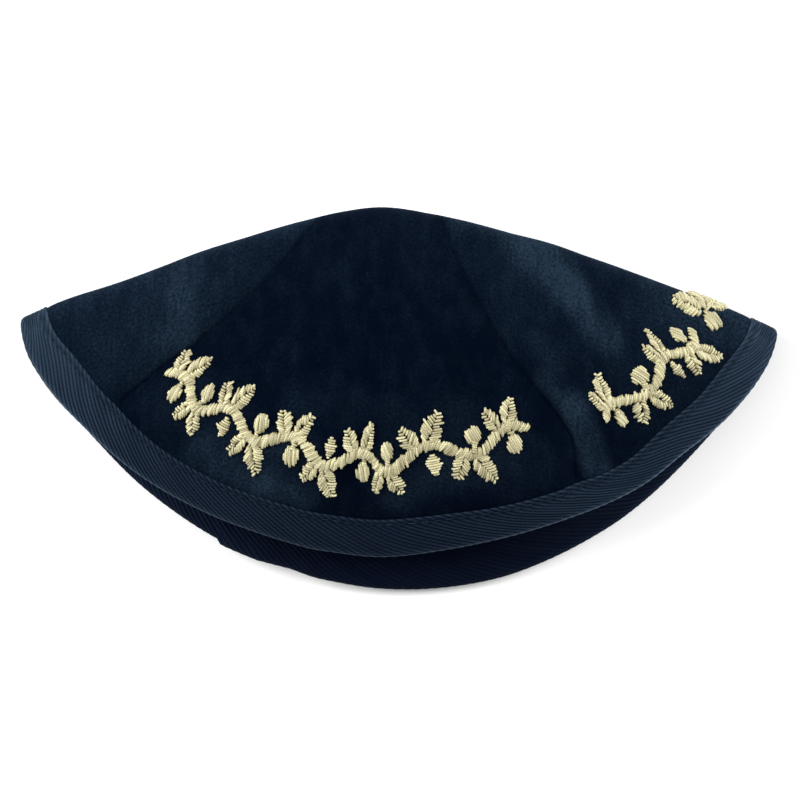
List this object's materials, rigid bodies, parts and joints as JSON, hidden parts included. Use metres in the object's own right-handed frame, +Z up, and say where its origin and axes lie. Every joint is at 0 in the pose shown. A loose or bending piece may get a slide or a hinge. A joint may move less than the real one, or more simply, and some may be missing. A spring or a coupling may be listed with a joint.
{
  "type": "velvet skullcap, folded flat",
  "caption": "Soft navy-black velvet skullcap with a twill rim binding, folded in half and lying flat.",
  "frame": {"origin": "middle of the cap's box at its base, on the surface it lies on", "axes": "+X along the fold, +Y from the open mouth towards the fold, +Z up"},
  "size_m": [0.1898, 0.0958, 0.0265],
  "materials": {
    "velvet": "cut pile velvet, navy black, soft sheen",
    "binding_tape": "diagonal twill tape, dark navy, matt",
    "thread": "pale gold satin-stitch thread"
  },
  "bodies": {
    "root": {"panel_front": "velvet", "panel_right": "velvet", "panel_left": "velvet", "panel_back": "velvet", "binding": "binding_tape"}
  },
  "joints": []
}
